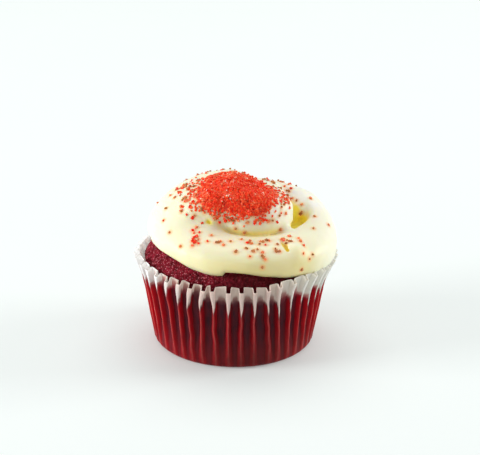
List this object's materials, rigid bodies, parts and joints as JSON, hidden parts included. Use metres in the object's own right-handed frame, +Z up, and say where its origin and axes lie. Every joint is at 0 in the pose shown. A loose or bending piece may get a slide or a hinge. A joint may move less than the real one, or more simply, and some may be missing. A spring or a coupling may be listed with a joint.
{
  "type": "red velvet cupcake",
  "caption": "Small round sponge cake in a pleated paper case that flares to its rim, under a thick swirl of cream cheese frosting with coloured sugar on top.",
  "frame": {"origin": "centre of the flat base of the paper case, on the surface it stands on", "axes": "+Z up through the frosting, -Y towards the side the picture shows, +X to the right of that side"},
  "size_m": [0.071, 0.07, 0.0594],
  "materials": {
    "paper_case": "greaseproof paper, white at the rim, stained deep red where the sponge touches it",
    "cake": "matt, fine moist crumb",
    "frosting": "smooth soft cream, satin"
  },
  "bodies": {
    "root": {"paper_case": "paper_case", "cake": "cake", "frosting": "frosting"}
  },
  "joints": []
}
